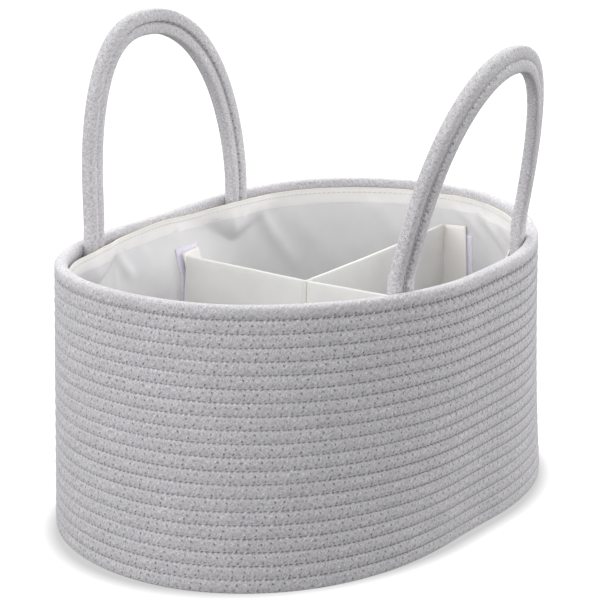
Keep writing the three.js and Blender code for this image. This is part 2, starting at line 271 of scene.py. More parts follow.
def cottonRope(name, upperHoles, lowerHoles, seam, seamShadeStart, seamShadeDepth=1.0):
    # knitted cotton cord: matt and hairy, tufts slanting one way and the other; needle holes beside the
    # sewing, darkened by painted shade, and painted shade in the seam itself wherever no thread crosses it
    material, tree, shader = newMaterial(
        name, {"Roughness": 0.95, "Sheen Weight": 0.25, "Sheen Roughness": 0.6, "IOR": 1.45})
    rope = addNode(tree, "ShaderNodeUVMap", {"uv_map": "ropeMap"})
    split = addNode(tree, "ShaderNodeSeparateXYZ", links={0: rope.outputs[0]})
    stitch, around = split.outputs["X"], split.outputs["Y"]
    along = compute(tree, "MULTIPLY", stitch, stitchPitch)
    metric = addNode(tree, "ShaderNodeCombineXYZ", links={0: along, 1: around}).outputs[0]

    # the knitted sleeve: its rows of loops slant up and down by turns, and the tufts follow them
    driftLength, driftWidth = ropeColourAndShade["drift"]
    wander = compute(tree, "MULTIPLY_ADD", noiseAt(tree, metric, driftLength, 0.0), driftWidth, around)
    slope = compute(tree, "ADD", compute(tree, "PINGPONG", wander, ropeColourAndShade["wale"]), along)
    slanted = addNode(tree, "ShaderNodeCombineXYZ", links={0: slope, 1: around})
    wide, long = ropeColourAndShade["streak"]
    drawn = addNode(tree, "ShaderNodeMapping", {"Scale": (1 / wide, 1 / long, 1)},
                    {"Vector": slanted.outputs[0]})
    streak = noiseAt(tree, drawn.outputs[0], 1.0, 1.0)
    fleck = noiseAt(tree, metric, ropeColourAndShade["fleck"], 2.0)
    height = addNode(tree, "ShaderNodeMix", {0: ropeColourAndShade["fleckShare"]}, {2: streak, 3: fleck}).outputs[0]
    tufts = colourRamp(tree, height, [(0.36, ropeColourAndShade["dark"]), (0.64, ropeColourAndShade["light"]),
                                      (0.5, ropeColourAndShade["middle"])])
    tone = ranged(tree, noiseAt(tree, metric, ropeColourAndShade["tone"], 1.0), 0.3, 0.7, 0.95, 1.04)
    toned = addNode(tree, "ShaderNodeVectorMath", {"operation": "SCALE"}, {0: tufts, "Scale": tone})
    colour = toned.outputs[0]

    # needle holes, dented and given painted shade: one line towards each seam, no two holes quite alike
    upper = compute(tree, "LESS_THAN", around, 0.0)
    across = compute(tree, "ABSOLUTE", around)
    high, low = (upperHoles or lowerHoles) / mm, lowerHoles / mm
    sizeU, sizeV = ropeColourAndShade["holeSize"]
    strayU, strayV = ropeColourAndShade["holeStray"]
    step = compute(tree, "MULTIPLY_ADD", upper, ropeColourAndShade["holeStep"], stitch)
    number = compute(tree, "MULTIPLY_ADD", upper, 5000.5, compute(tree, "FLOOR", step))
    chance = addNode(tree, "ShaderNodeTexWhiteNoise", {"noise_dimensions": "1D"}, {"W": number})
    chances = addNode(tree, "ShaderNodeSeparateXYZ", links={0: chance.outputs["Color"]}).outputs
    level = compute(tree, "MULTIPLY_ADD", upper, high - low, low)
    offV = compute(tree, "MULTIPLY_ADD", chances["Y"], strayV, compute(tree, "SUBTRACT", across, level))
    offV = compute(tree, "MULTIPLY_ADD", offV, 1 / sizeV, -strayV / 2 / sizeV)
    offU = compute(tree, "MULTIPLY_ADD", chances["X"], strayU, compute(tree, "FRACT", step))
    offU = compute(tree, "MULTIPLY_ADD", offU, stitchPitch / sizeU,
                   -(0.5 + strayU / 2) * stitchPitch / sizeU)
    lean = compute(tree, "MULTIPLY_ADD", offV, ropeColourAndShade["holeLean"], offU)
    offset = addNode(tree, "ShaderNodeCombineXYZ", links={0: lean, 1: offV})
    far = addNode(tree, "ShaderNodeVectorMath", {"operation": "LENGTH"}, {0: offset.outputs[0]})
    hole = ranged(tree, far.outputs["Value"], 1.35, 0.4, kind="SMOOTHSTEP")
    hole = compute(tree, "MULTIPLY", hole, compute(tree, "MULTIPLY_ADD", chances["Z"], 0.6, 0.35))

    # painted shade in the open seam between the crossings of the thread
    upStart, lowStart = seamShadeStart
    start = compute(tree, "MULTIPLY_ADD", upper, lowStart - upStart, -lowStart)
    swing = compute(tree, "PINGPONG", compute(tree, "ADD", stitch, start), 0.25)
    half, edge = 0.25 * ropeColourAndShade["seamShadeShare"], ropeColourAndShade["seamShadeEdge"]
    opened = ranged(tree, swing, half + edge, half - edge, kind="SMOOTHSTEP")
    off = compute(tree, "ABSOLUTE", compute(tree, "SUBTRACT", across, seam / mm))
    near = ranged(tree, off, ropeColourAndShade["seamShadeWide"], 0.5 * ropeColourAndShade["seamShadeWide"], kind="SMOOTHSTEP")
    uneven = ranged(tree, fleck, 0.36, 0.58, 0.35 * seamShadeDepth, seamShadeDepth)
    gap = compute(tree, "MULTIPLY", compute(tree, "MULTIPLY", opened, near), uneven)
    if not upperHoles:
        lower = compute(tree, "SUBTRACT", 1.0, upper)
        hole = compute(tree, "MULTIPLY", hole, lower)
        gap = compute(tree, "MULTIPLY", gap, lower)
    # painted shade, in the needle holes and in the open seam
    colour = mixColour(tree, hole, colour, ropeColourAndShade["hole"])
    colour = mixColour(tree, gap, colour, ropeColourAndShade["gap"])
    tree.links.new(colour, shader.inputs["Base Color"])
    relief(tree, shader, compute(tree, "MULTIPLY_ADD", hole, -0.8, height), *ropeColourAndShade["relief"])
    return material


def wovenCloth(name, colour, shadeColour, thread, roughness, sheen, bumpDepth):
    # plain-woven synthetic cloth: two sets of threads crossing, a soft shine on the raised ones
    material, tree, shader = newMaterial(
        name, {"Roughness": roughness, "Sheen Weight": sheen, "Sheen Roughness": 0.4, "IOR": 1.5})
    place = addNode(tree, "ShaderNodeTexCoord").outputs["Object"]
    warp, weft = (
        addNode(tree, "ShaderNodeTexWave", {"wave_type": "BANDS", "bands_direction": direction,
                                            "Scale": 0.5 / thread, "Distortion": 0.8, "Detail": 1.0,
                                            "Detail Scale": 0.6}, {"Vector": place}).outputs["Fac"]
        for direction in ("Z", "DIAGONAL"))
    weave = compute(tree, "MULTIPLY", warp, weft)
    mixed = compute(tree, "MULTIPLY_ADD", weave, 0.25, noiseAt(tree, place, 22 * mm, 3.0))
    tint = colourRamp(tree, mixed, [(0.35, shadeColour), (0.75, colour)])
    tree.links.new(tint, shader.inputs["Base Color"])
    relief(tree, shader, weave, 0.5, bumpDepth)
    return material


def napTape(name, colour, shadeColour, tuft, roughness):
    # nylon hook-and-loop tape: a dense nap of tiny loops or hooks, dull, with a tint
    material, tree, shader = newMaterial(
        name, {"Roughness": roughness, "Sheen Weight": 0.4, "Sheen Roughness": 0.5, "IOR": 1.53})
    place = addNode(tree, "ShaderNodeTexCoord").outputs["Object"]
    nap = addNode(tree, "ShaderNodeTexVoronoi", {"Scale": 1 / tuft}, {"Vector": place})
    tint = colourRamp(tree, noiseAt(tree, place, 2.5 * tuft, 3.0), [(0.35, shadeColour), (0.65, colour)])
    tree.links.new(tint, shader.inputs["Base Color"])
    relief(tree, shader, nap.outputs["Distance"], 0.8, 0.4 * mm)
    return material


def spunThread(name, colour):
    # spun polyester sewing thread: two twisted strands, slightly glossy
    material, tree, shader = newMaterial(
        name, {"Roughness": 0.7, "Sheen Weight": 0.2, "IOR": 1.5, "Base Color": hexColour(colour)})
    coords = addNode(tree, "ShaderNodeTexCoord")
    twist = addNode(tree, "ShaderNodeTexWave", {"wave_type": "BANDS", "bands_direction": "DIAGONAL",
                                               "Scale": 1 / (1.2 * mm), "Distortion": 1.0},
                    {"Vector": coords.outputs["Object"]})
    relief(tree, shader, twist.outputs["Fac"], 0.4, 0.1 * mm)
    return material


rimThick = rimHigh.z - rimLow.z
ropeSection = {"wide": 7.7 * mm, "high": 1.04 * rowPitch, "power": 7.5, "sides": 18}  # pressed row on row
handleSection = {"wide": 8.2 * mm, "high": 7.7 * mm, "power": 4.0, "sides": 16}
rimSection = {"wide": rimThick, "high": 1.06 * rimThick, "power": 3.2, "sides": 24}
sewing = {
    "thread": 1.1 * mm,
    "above": 2.0 * mm,  # needle holes over the groove, and under it
    "below": 2.6 * mm,
    "sink": 1.0 * mm,  # thread in its holes, and where it crosses the groove
    "cross": 0.4 * mm,
    "handleHoles": 3.4 * mm,  # round a handle rope from the groove
    "handleSeamShade": 0.75,  # how dark the handles' painted seam shade is beside the wall's
}


def sectionLine(section):
    # the rope's outline from its innermost point, and how far round from the outermost each point lies
    t = math.pi + np.linspace(0, 2 * math.pi, section["sides"] + 1)
    e = 2 / section["power"]
    c, s = np.cos(t), np.sin(t)
    out = np.sign(c) * np.abs(c) ** e * section["wide"] / 2
    up = np.sign(s) * np.abs(s) ** e * section["high"] / 2
    around = np.concatenate([[0], np.cumsum(np.hypot(np.diff(out), np.diff(up)))])
    return out, up, around - around[section["sides"] // 2]


def meeting(section, axis):
    # how far round from the outermost point the rope meets its neighbour
    line = sectionLine(dict(section, sides=400))
    part = slice(200, 301)
    order = slice(None, None, 1 if axis else -1)
    return np.interp(rowPitch / 2, line[axis][part][order], line[2][part][order])


halfRound = sectionLine(handleSection)[2][-1]
grooveSide = halfRound - sewing["handleHoles"]
handleSeam = meeting(handleSection, 0)
upperSeamShadeStart = (0.5 - ropeColourAndShade["holeStep"]) % 0.5
wallSeamShadeStarts = (upperSeamShadeStart, (upperSeamShadeStart + coil["stitches"]) % 0.5)
underGroove, overGroove = rowPitch / 2 - sewing["below"], rowPitch / 2 - sewing["above"]
wallRope = cottonRope("knitted_cotton_rope", underGroove, overGroove, meeting(ropeSection, 1), wallSeamShadeStarts)
rimRope = cottonRope("knitted_cotton_rim", None, overGroove, meeting(rimSection, 1), wallSeamShadeStarts)
outerRope = cottonRope("knitted_cotton_outer_handle", grooveSide, grooveSide, halfRound - handleSeam,
                       (0.0, 0.0), sewing["handleSeamShade"])
innerRope = cottonRope("knitted_cotton_inner_handle", sewing["handleHoles"], sewing["handleHoles"],
                       handleSeam, (0.0, 0.0), sewing["handleSeamShade"])
greyThread = spunThread("spun_grey_thread", "#C8C6C9")
creamThread = spunThread("spun_cream_thread", "#D8D4CA")
liningCloth = wovenCloth("white_taffeta", "#E6E5E6", "#DFDEE0", 0.5 * mm, 0.5, 0.15, 0.05 * mm)
hemCloth = wovenCloth("white_taffeta_hem", "#F5F4F3", "#EFEEED", 0.5 * mm, 0.55, 0.15, 0.05 * mm)
bindingCloth = wovenCloth("cream_binding", "#F3EFE4", "#ECE7DA", 0.5 * mm, 0.7, 0.2, 0.05 * mm)
panelCloth = wovenCloth("off_white_oxford", "#E6E6E3", "#DEDEDB", 0.6 * mm, 0.75, 0.2, 0.08 * mm)
# the tabs' cream oxford, made lighter than its own cream: painted light on the tabs
tabClothWithPaintedLight = wovenCloth("cream_oxford_painted_light", "#FDFBF8", "#FAF7F3", 0.6 * mm, 0.75, 0.2, 0.08 * mm)
stripCloth = wovenCloth("seam_strip_oxford", "#E2E1DB", "#DAD9D2", 0.6 * mm, 0.75, 0.2, 0.08 * mm)
loopNap = napTape("lilac_loop_tape", "#F9F5FF", "#EEEAFD", 0.7 * mm, 0.95)
hookNap = napTape("white_hook_tape", "#E3E1E6", "#CFCCD4", 0.9 * mm, 0.6)
print("materials made")


# a rope of the given section swept along a path, with a map of stitches along and millimetres round
def sweepRope(name, path, outward, section, material, closed=False, along=None):
    outs, ups, around = sectionLine(section)
    sides, count = section["sides"], len(path)
    following = np.roll(path, -1, axis=0) if closed else np.vstack([path[1:], 2 * path[-1] - path[-2]])
    before = np.roll(path, 1, axis=0) if closed else np.vstack([2 * path[0] - path[1], path[:-1]])
    tangent = unit(following - before)
    out = unit(outward - tangent * np.sum(outward * tangent, axis=1, keepdims=True))
    up = np.cross(tangent, out)
    size = np.ones(count)
    if not closed:
        for k, share in enumerate((0.45, 0.8, 0.95)):
            size[k] = size[-1 - k] = share
    rings = path[:, None] + size[:, None, None] * (
        outs[None, :sides, None] * out[:, None] + ups[None, :sides, None] * up[:, None])
    if along is None:
        along = lengthAlong(path) / (stitchPitch * mm)
    faces, uvs = [], []
    for i in range(count if closed else count - 1):
        j = (i + 1) % count
        for k in range(sides):
            m = (k + 1) % sides
            faces.append((i * sides + k, j * sides + k, j * sides + m, i * sides + m))
            low, high = around[k] / mm, around[k + 1] / mm
            uvs.append((along[i], low, along[i + 1], low, along[i + 1], high, along[i], high))
    flat = np.array(uvs).ravel()
    if not closed:
        faces.append(tuple(range(sides)))
        faces.append(tuple(range(count * sides - 1, (count - 1) * sides - 1, -1)))
        ends = np.array([[along[0], 0.0]] * sides + [[along[count - 1], 0.0]] * sides).ravel()
        flat = np.concatenate([flat, ends])
    piece = newPiece(name, rings.reshape(-1, 3), faces, material)
    layer = piece.data.uv_layers.new(name="ropeMap")
    layer.data.foreach_set("uv", flat)
    piece.data.shade_smooth()
    return piece


# thread: one or more runs of points as thin cord, made a mesh
def threadPiece(name, runs, thick, material, cyclic=False):
    curve = bpy.data.curves.new(name, "CURVE")
    curve.dimensions = "3D"
    curve.bevel_depth = thick / 2
    curve.bevel_resolution = 0
    curve.use_fill_caps = not cyclic
    for run in runs:
        spline = curve.splines.new("POLY")
        spline.points.add(len(run) - 1)
        spline.points.foreach_set("co", np.hstack([run, np.ones((len(run), 1))]).ravel())
        spline.use_cyclic_u = cyclic
    piece = bpy.data.objects.new(name, curve)
    bpy.context.scene.collection.objects.link(piece)
    onlySelect(piece)
    bpy.ops.object.convert(target="MESH")
    piece = bpy.context.active_object
    piece.data.materials.append(material)
    piece.data.shade_smooth()
    return piece


# rope wall: one coil, level along each row, climbing to the next at the back
wall = {"points": 264, "wobble": 0.35 * mm, "wobbleLength": 60 * mm}
wallPlan = ovalPlan(wall["points"], 0.0, math.radians(coil["start"]))
finePlan = ovalPlan(wall["points"] * 12, 0.0, math.radians(coil["start"]))
fineNormal = ovalNormal(finePlan)


def wobbleAt(points):
    k = 1 / wall["wobbleLength"]
    return np.array([noise.noise(Vector((x * k, y * k, z * k * 2))) for x, y, z in points]) * wall["wobble"]


def coilHeight(turns):
    # height of the coil's middle line; turns counts rows from the foot
    rowNumber = np.floor(turns + 1e-9)
    climbing = ease((turns - rowNumber - (1 - coil["climb"])) / coil["climb"])
    return firstRow + rowPitch * (rowNumber + climbing)


turns = np.arange(coil["rows"] * wall["points"] - int(wall["points"] * coil["climb"])) / wall["points"]
coilPath = np.column_stack([wallPlan[np.arange(len(turns)) % wall["points"]], coilHeight(turns)])
coilPath[:, 2] += wobbleAt(coilPath)
coilPath = stand(coilPath)
ropeWall = sweepRope("rope_wall_coil", coilPath, ovalNormal(coilPath), ropeSection, wallRope,
                     along=turns * coil["stitches"])
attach(ropeWall, "basket")
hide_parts("rope_wall")
print("rope wall:", len(ropeWall.data.polygons), "faces")


# the zigzag sewing: over each groove from a needle hole below it to one above, and back
def seamRun(row):
    perRow = coil["stitches"]
    first = (0.5 - ropeColourAndShade["holeStep"] - row * perRow) % 1
    ahead = (0.5 - (row + 1) * perRow - first) % 1
    last = perRow * (1 - coil["climb"]) if row == coil["rows"] - 1 else perRow
    low = (np.arange(int(last) - 1) + first) / perRow
    high = low + ahead / perRow
    turn = np.column_stack([low, (low + high) / 2, high, (low + high + 1 / perRow) / 2]).ravel()
    middle = (sewing["above"] - sewing["below"]) / 2
    rise = np.tile((-sewing["below"], middle, sewing["above"], middle), len(low))
    sink = np.tile((sewing["sink"], sewing["cross"]), 2 * len(low))
    index = np.round(turn * len(finePlan)).astype(int) % len(finePlan)
    out = ropeSection["wide"] / 2 - sink
    points = np.column_stack([finePlan[index] + fineNormal[index] * out[:, None],
                              coilHeight(row + turn) + rowPitch / 2 + rise])
    points[:, 2] += wobbleAt(points)
    return stand(points)


wallThread = threadPiece("wall_zigzag_thread", [seamRun(row) for row in range(coil["rows"])],
                         sewing["thread"], greyThread)
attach(wallThread, "basket")
print("wall sewing:", len(wallThread.data.polygons), "faces")

# rim: one round of slightly fuller rope
rim = {"points": 420}
rimPath = np.column_stack([ovalPlan(rim["points"], 0.0), np.full(rim["points"], (rimLow.z + rimHigh.z) / 2)])
rimPath[:, 2] += wobbleAt(rimPath)
rimPath = stand(rimPath)
startShare = np.argmin(np.linalg.norm(fineOval - wallPlan[0], axis=1)) / len(fineOval)
along = (coil["rows"] + np.linspace(0, 1, rim["points"] + 1) - startShare) * coil["stitches"]
rimPiece = sweepRope("rim_rope_round", rimPath, ovalNormal(rimPath), rimSection, rimRope, True, along)
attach(rimPiece, "basket")
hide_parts("rim_rope")
print("rim made")

# base: the same rope coiled flat from the foot of the wall to the middle
base = {"points": 200}
baseRows = int((halfWide - coil["thick"]) / rowPitch)
basePath = []
for row in range(baseRows):
    inner = ovalPlan(base["points"], -rowPitch * (row + 1), math.radians(coil["start"]))
    further = ovalPlan(base["points"], -rowPitch * (row + 2), math.radians(coil["start"]))
    moving = ease((np.arange(base["points"]) / base["points"] - (1 - coil["climb"])) / coil["climb"])
    basePath.append(inner + (further - inner) * moving[:, None])
basePath = np.vstack(basePath)
basePath = stand(np.column_stack([basePath, np.full(len(basePath), coil["thick"] / 2)]))
outward = np.tile((0.0, 0.0, -1.0), (len(basePath), 1))
baseSection = dict(ropeSection, wide=coil["thick"], sides=8)
ropeBase = sweepRope("rope_base_coil", basePath, outward, baseSection, wallRope)
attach(ropeBase, "basket")
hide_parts("rope_base")
print("base made:", baseRows, "rounds")

# handles: two ropes side by side, sewn together, their ends sewn in behind the lining;
# skew and crown draw an arch sideways, all of it or its top
handles = {
    "back": {"side": 1, "feet": (-85.5 * mm, 72 * mm), "legs": (-78.5 * mm, 73.8 * mm), "lean": 1.2,
             "skew": -21.8 * mm, "crown": -7.5 * mm, "top": 129.8 * mm, "round": 0.92},
    "front": {"side": -1, "feet": (-77 * mm, 73 * mm), "legs": (-73.4 * mm, 71.6 * mm), "lean": 9.9,
              "skew": -0.7 * mm, "crown": 5 * mm, "top": 126.3 * mm, "round": 0.93},
}
axisZ = 172.5 * mm
endLow = 153 * mm  # the sewn ends, hidden behind the lining, stop where its bulges do
legRise = 10 * mm  # straight leg above the rim before the arch
handleBend = 8 * mm  # how soon above the rim a handle leans
footHold = 18 * mm  # how soon it leaves its sewn foot's place
cordStep = 2.2 * mm


def rimInside(x):
    # how far out a handle rope can stand against the rim at this place
    side = coil["flatness"] * (halfLong - halfWide)
    share = max(0.0, abs(x) - side) / (halfLong - side)
    across = math.sqrt(1 - share ** 2)
    slope = halfWide * share / across / (halfLong - side)
    clear = rimSection["wide"] / 2 + handleSection["high"] / 2 + 0.3 * mm
    return halfWide * across - clear * math.sqrt(1 + slope ** 2)


def handlePath(handle, inset):
    # middle line of one rope, from its sewn end up, over and down, inset from the outer one
    left, right = handle["legs"]
    middle = (left + right) / 2
    half = (right - left) / 2 + rowPitch / 2
    rise = handle["top"] - legRise
    t = np.linspace(math.pi, 0, 400)
    x = half * np.sign(np.cos(t)) * np.abs(np.cos(t)) ** handle["round"]
    h = legRise + rise * np.sin(t)
    down = np.linspace(endLow - axisZ, legRise, 60)
    x = np.concatenate([np.full(59, -half), x, np.full(59, half)])
    h = np.concatenate([down[:-1], h, down[:-1][::-1]])
    share = np.clip(h, 0, None) / handle["top"]
    line = np.column_stack([x + handle["skew"] * share + handle["crown"] * share ** 4, h])
    tangent = unit(np.gradient(line, axis=0))
    line += np.column_stack([tangent[:, 1], -tangent[:, 0]]) * inset
    half -= inset
    along = lengthAlong(line)
    wanted = np.linspace(0, along[-1], int(along[-1] / cordStep))
    x, h = (np.interp(wanted, along, line[:, k]) for k in (0, 1))
    above = np.clip(h, 0, None)
    swing = math.radians(handle["lean"])
    bent = above ** 2 / (above + handleBend)
    hold = np.exp(-above / footHold)  # the sewn feet stand further out than the legs would
    moved = np.where(x < 0, handle["feet"][0] - left, handle["feet"][1] - right) * hold
    ends = [rimInside(sign * half + middle) for sign in (-1, 1)]
    feet = [rimInside(sign * half + middle + foot - leg)
            for sign, foot, leg in zip((-1, 1), handle["feet"], handle["legs"])]
    foot = np.interp(x, (-half, half), ends) + np.where(x < 0, feet[0] - ends[0], feet[1] - ends[1]) * hold
    y = handle["side"] * (foot + bent * math.sin(swing))
    z = axisZ + np.where(h > 0, above - bent * (1 - math.cos(swing)), h)
    x = x + middle + moved
    return stand(np.column_stack([x, y, z]))


for name, handle in handles.items():
    body = name + "_handle"
    paths = {"outer": handlePath(handle, 0.0), "inner": handlePath(handle, rowPitch)}
    lines = {}
    for rope, path in paths.items():
        along = lengthAlong(path)
        sewn = path[:, 2] > rimTop - 4 * mm
        lines[rope] = (along[sewn] - along[sewn][0], path[sewn], along[sewn][-1] - along[sewn][0])
        if rope == "outer":
            quarters = 4 * int(lines[rope][2] / (stitchPitch * mm))
        tangent = unit(np.gradient(path, axis=0))
        outward = np.cross(tangent, np.tile((0.0, 1.0, 0.0), (len(path), 1)))
        stitch = (along - along[sewn][0]) / lines[rope][2] * quarters / 4
        piece = sweepRope(f"{name}_handle_{rope}_cord", path, outward, handleSection,
                          outerRope if rope == "outer" else innerRope, along=stitch)
        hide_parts(f"{name}_handle_{rope}_rope",
                    *(f"{name}_{hand}_{rope}_rope_end" for hand in ("left", "right")))
        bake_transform(piece)

    # zigzag sewing over the groove, on both faces of the handle
    outer, inner = (np.column_stack([np.interp(np.linspace(0, length, quarters + 1), along, line[:, k])
                                     for k in range(3)]) for along, line, length in lines.values())
    inward = unit(inner - outer)
    face = unit(np.cross(unit(np.gradient(outer, axis=0)), inward))
    outs, ups, around = sectionLine(handleSection)
    reach = rowPitch / 2 - abs(np.interp(grooveSide, around, outs))
    lift = abs(np.interp(grooveSide, around, ups))
    shift = np.tile((-1, 0, 1, 0), quarters // 4 + 1)[:quarters + 1] * reach
    depth = np.tile((sewing["sink"], sewing["cross"]), quarters // 2 + 1)[:quarters + 1]
    runs = [(outer + inner) / 2 + inward * shift[:, None] + sign * face * (lift - depth)[:, None]
            for sign in (1, -1)]
    seam = threadPiece(f"{name}_handle_zigzag_thread", runs, sewing["thread"], greyThread)
    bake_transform(seam)
print("handles made")

# lining: white cloth sewn in round the wall, eased over the handles' sewn ends and drawn in by the divider
lining = {
    "around": 480,
    "up": 72,
    "inset": 4.6 * mm,  # from the middle line of the rope
    "corner": 10 * mm,  # round fold from the wall to the floor
    "thick": 0.5 * mm,
    "footWide": 9 * mm,  # the bulge over a handle's foot, to either side
    "footEase": {"back": 20 * mm, "front": 9 * mm},  # how soon beside the foot it is back at the wall
    "footSpread": (138 * mm, 20 * mm),  # the height where the bulge widens, and over how much
    "footSwell": (132 * mm, 16 * mm),  # the same for how far it stands in
    "footRise": {"back": 0.24, "front": -0.75},  # of how far the edge stands in over a foot
    "edgeRise": (22 * mm, 18 * mm),  # how far under the edge that starts, and over how much
    "crest": (255 * mm, 28 * mm, 2.5 * mm),  # where the edge stands higher, how wide, how much
    "crease": 1.0 * mm,
    "pucker": 0.25 * mm,
    "flat": (16 * mm, 30 * mm),  # beside the middle of a tape: none of these, and how soon they are back
    "pull": (233 * mm, 11.5 * mm, 14 * mm, 50 * mm),  # where the back tab draws it in, how far, how wide
    "pullEase": (46 * mm, 60 * mm),  # from the edge and from the floor
    "underHem": (2 * mm, 12 * mm),  # how far under the edge the folds start, and over how much
    "folds": [  # slack cloth: (mm round from the right end, height) to the same, width, how far it stands in
        ((149, 155), (110, 107), 5.0, 2.4),
        ((182, 160), (176, 139), 3.5, 1.5),
        ((166, 157), (176, 139), 3.5, 1.5),
        ((305, 153), (286, 131), 4.0, 2.0),
        ((272, 149), (286, 131), 4.5, 1.3),
        ((236, 158), (241, 141), 3.5, 1.4),
        ((306, 147), (305, 118), 3.0, 0.8),
        ((-2, 159), (-52, 136), 5.5, 2.2),
        ((-25, 162), (-96, 138), 5.5, 2.6),
        ((-55, 161), (-110, 146), 4.5, 1.8),
        ((60, 156), (24, 112), 7.0, 1.6),
        ((120, 150), (70, 96), 8.0, 1.5),
    ],
}
liningTop = (rimLow.z + rimHigh.z) / 2 - 1.7 * mm
footReach = handleSection["high"] + 1.2 * mm  # inward from the rim over the handle ropes
clothStep = rowLength / lining["around"]


def clothDepth(x, y, z, along):
    # how far the cloth stands in from its smooth oval, and how far it is lifted over the handles' feet
    depth, rise = np.zeros(len(x)), np.zeros(len(x))
    under = liningTop - z
    spread = rising(z, *lining["footSpread"])
    swell = rising(z, *lining["footSwell"])
    edge = rising(lining["edgeRise"][0], under, lining["edgeRise"][1])
    for name, handle in handles.items():
        for foot in handle["feet"]:
            far = np.clip(np.abs(x - foot) - lining["footWide"] * spread, 0, None)
            far = far / (lining["footEase"][name] * (0.5 + 0.5 * spread))
            bulge = np.where(y * handle["side"] > 0, footReach * swell * np.exp(-far ** 2), 0)
            depth = np.maximum(depth, bulge)
            rise = rise + lining["footRise"][name] * edge * bulge
    place, wide, lift = lining["crest"]
    rise = rise + lift * edge * np.exp(-((along - place) / wide) ** 2)
    place, pull, half, reach = lining["pull"]
    hang = rising(under, 0, lining["pullEase"][0]) * rising(z, floorTop, lining["pullEase"][1])
    drawn = pull * np.exp(-(np.clip(np.abs(along - place) - half, 0, None) / reach) ** 2) * hang
    depth = np.maximum(depth, drawn)
    for start, end, wide, out in lining["folds"]:
        run = (np.array(end) - np.array(start)) * mm
        length = np.hypot(*run)
        away = np.column_stack([along - start[0] * mm, np.full(len(x), z - start[1] * mm)])
        part = away @ run / length ** 2
        side = (away[:, 0] * run[1] - away[:, 1] * run[0]) / length
        fade = ease((part + 0.1) / 0.3) * ease((1.1 - part) / 0.5) * rising(under, *lining["underHem"])
        depth = depth + out * mm * fade * np.exp(-(side / (wide * mm)) ** 2)
    low = float(np.clip(under / (liningTop - floorTop), 0, 1))
    slack = lining["crease"] * math.sin(math.pi * low) ** 0.7
    fine = lining["pucker"] * math.exp(-low * 8)
    waves = [slack * (0.6 + noise.noise(Vector((s / (58 * mm) + z / (90 * mm), z / (110 * mm), 3.1)))
                      + 0.45 * noise.noise(Vector((s / (25 * mm) - z / (55 * mm), z / (70 * mm), 9.7))))
             + fine * noise.noise(Vector((s / (8 * mm), z / (24 * mm), 5.5))) for s in along]
    calm = np.ones(len(x))
    for share in (0.0, 0.247, -0.247):  # of the way round, where the tapes are
        calm = calm * ease((np.abs(along - share * rowLength) - lining["flat"][0]) / lining["flat"][1])
    return depth + np.array(waves) * calm, rise


def clothRing(z, inset=0.0):
    rounding = max(0.0, lining["corner"] - (z - floorTop)) / lining["corner"]
    tuck = lining["corner"] * (1 - math.sqrt(max(0.0, 1 - rounding ** 2)))
    plan = ovalPlan(lining["around"], -lining["inset"] - tuck)
    along = np.arange(lining["around"]) * clothStep
    along = np.where(along < rowLength / 2, along, along - rowLength)
    depth, rise = clothDepth(plan[:, 0], plan[:, 1], z, along)
    return np.column_stack([plan - ovalNormal(plan) * (depth + inset)[:, None], z + rise])


def gridFaces(count, rows, closed=True):
    faces = []
    for j in range(rows - 1):
        for i in range(count if closed else count - 1):
            k = (i + 1) % count
            faces.append((j * count + i, (j + 1) * count + i, (j + 1) * count + k, j * count + k))
    return faces


def thicken(piece, thick, offset):
    solid = piece.modifiers.new("cloth", "SOLIDIFY")
    solid.thickness = thick
    solid.offset = offset
    applyModifiers(piece)
    piece.data.shade_smooth()


heights = np.linspace(floorTop, liningTop - 1 * mm, lining["up"])
clothGrid = np.stack([stand(clothRing(z)) for z in heights])
clothIn = np.stack([stand(clothRing(z, 1 * mm)) for z in heights])
clothIn = unit(clothIn - clothGrid)  # direction into the basket at each point of the cloth
liningWall = newPiece("lining_wall_cloth", clothGrid.reshape(-1, 3),
                      gridFaces(lining["around"], lining["up"]), liningCloth)
thicken(liningWall, lining["thick"], 1)
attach(liningWall, "basket")
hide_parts("lining_wall")
print("lining wall made")

# hem: the lining's top edge folded over and sewn, with a narrow cream binding along it
hem = {
    "stitch": 2.0 * mm,
    "step": 3.6 * mm,
    "below": 2.7 * mm,  # the line of stitches, under the top, and how far in it stands
    "proud": 0.75 * mm,
    "thread": 0.45 * mm,
    "edge": 1.1 * mm,
    "dip": (0.4 * mm, 50 * mm),  # how far its top wanders up and down, and over what length
    "profile": [(0.5, 0.0), (0.64, 0.2), (0.68, 0.8), (0.58, 2.6), (0.68, 4.5), (0.64, 7.0), (0.6, 9.0),
                (0.5, 10.3), (0.4, 10.5), (0.3, 9.0), (0.3, 0.8)],  # mm in from the cloth, mm below the top
}
around = np.arange(lining["around"]) * clothStep
dip = np.array([noise.noise(Vector((s / hem["dip"][1], 4.2, 0.3))) for s in around]) * hem["dip"][0]


def hemRing(drop, inward):
    ring = clothRing(liningTop - drop, inward)
    ring[:, 2] += dip
    return stand(ring)


count, rows = lining["around"], len(hem["profile"])
hemFaces = [(j * count + i, j * count + (i + 1) % count, (j + 1) % rows * count + (i + 1) % count,
             (j + 1) % rows * count + i) for j in range(rows) for i in range(count)]
hemRings = np.vstack([hemRing(drop * mm, inward * mm) for inward, drop in hem["profile"]])
hemBand = newPiece("lining_hem_fold", hemRings, hemFaces, hemCloth)
hemBand.data.shade_smooth()
hemEdge = threadPiece("lining_hem_binding", [hemRing(0.0, 0.4 * mm)], hem["edge"], bindingCloth, cyclic=True)
sewn = hemRing(hem["below"], hem["proud"])
sewn = np.vstack([sewn, sewn[:1]])
length = lengthAlong(sewn)
runs = [np.column_stack([np.interp((s, s + hem["stitch"]), length, sewn[:, k]) for k in range(3)])
        for s in np.arange(0, length[-1] - hem["step"], hem["step"])]
hemStitches = threadPiece("lining_hem_stitches", runs, hem["thread"], creamThread)
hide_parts("lining_hem")
for piece in (hemBand, hemEdge, hemStitches):
    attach(piece, "basket")
print("hem made:", len(runs), "stitches")

